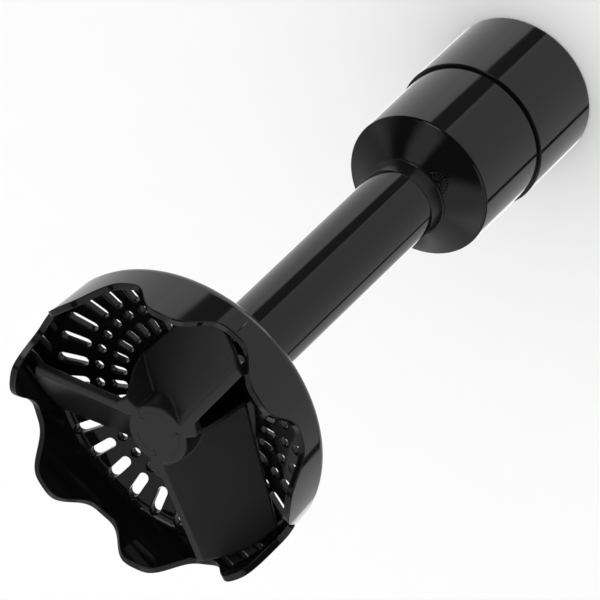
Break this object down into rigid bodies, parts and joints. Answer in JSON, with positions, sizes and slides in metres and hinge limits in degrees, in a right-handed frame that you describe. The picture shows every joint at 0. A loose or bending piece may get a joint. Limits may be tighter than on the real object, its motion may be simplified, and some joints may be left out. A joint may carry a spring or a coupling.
{
  "type": "hand blender potato-masher attachment",
  "caption": "Potato-masher attachment for a hand blender: stepped planetary gearbox, straight tube, and an upturned scalloped bell with a slotted grille and a removable swept-blade paddle.",
  "frame": {"origin": "centre of the coupling collar's open end face, on the axis", "axes": "+Z along the tube from the coupling to the bell; +X lies 1.5 degrees past the first paddle arm at rest"},
  "size_m": [0.107, 0.107, 0.2547],
  "materials": {
    "gloss_black": "polished moulded ABS",
    "satin_black": "satin moulded polypropylene",
    "satin_trim": "satin trim ring",
    "dark_rubber": "matt black elastomer",
    "grey_nylon": "glass-filled nylon",
    "ivory_acetal": "moulded acetal",
    "bronze": "sintered bronze",
    "ground_steel": "ground stainless steel",
    "gear_steel": "sintered steel",
    "screw_steel": "zinc-plated steel"
  },
  "bodies": {
    "housing": {"coupling_collar": "gloss_black", "bearing_plate": "grey_nylon", "plate_screws": "screw_steel", "input_bush": "bronze", "ring_gear": "ivory_acetal", "gearbox_housing": "gloss_black", "housing_gasket": "dark_rubber", "neck_ring": "satin_trim", "stem_tube": "gloss_black", "carrier_bush": "bronze", "stem_bush": "bronze", "shaft_seal": "dark_rubber", "masher_bell": "gloss_black", "bell_bush": "bronze"},
    "input": {"drive_coupler": "grey_nylon", "input_shaft": "ground_steel", "sun_gear": "gear_steel"},
    "carrier": {"planet_carrier": "grey_nylon", "planet_pins": "ground_steel", "pin_washers": "screw_steel", "drive_shaft": "ground_steel", "shaft_circlip": "screw_steel", "retaining_ring": "dark_rubber"},
    "planet_1": {"planet_gear_1": "ivory_acetal"},
    "planet_2": {"planet_gear_2": "ivory_acetal"},
    "planet_3": {"planet_gear_3": "ivory_acetal"},
    "paddle": {"masher_paddle": "satin_black", "paddle_insert": "gear_steel"}
  },
  "joints": [
    {"name": "output_spin", "type": "hinge", "parent": "housing", "child": "carrier", "pos_m": [0, 0, 0.0615], "axis": [0, 0, 1], "continuous": true},
    {"name": "input_spin", "type": "hinge", "parent": "housing", "child": "input", "pos_m": [0, 0, 0.0335], "axis": [0, 0, 1], "continuous": true},
    {"name": "planet_1_spin", "type": "hinge", "parent": "carrier", "child": "planet_1", "pos_m": [0.0135, 0, 0.0515], "axis": [0, 0, 1], "continuous": true},
    {"name": "planet_2_spin", "type": "hinge", "parent": "carrier", "child": "planet_2", "pos_m": [-0.00675, 0.01169, 0.0515], "axis": [0, 0, 1], "continuous": true},
    {"name": "planet_3_spin", "type": "hinge", "parent": "carrier", "child": "planet_3", "pos_m": [-0.00675, -0.01169, 0.0515], "axis": [0, 0, 1], "continuous": true},
    {"name": "paddle_pull", "type": "slide", "parent": "carrier", "child": "paddle", "axis": [0, 0, 1], "range_m": [0, 0.035]}
  ],
  "couplings": [
    {"joint": "input_spin", "follows": "output_spin", "ratio": 5},
    {"joint": "planet_1_spin", "follows": "output_spin", "ratio": -2.6667},
    {"joint": "planet_2_spin", "follows": "output_spin", "ratio": -2.6667},
    {"joint": "planet_3_spin", "follows": "output_spin", "ratio": -2.6667}
  ]
}
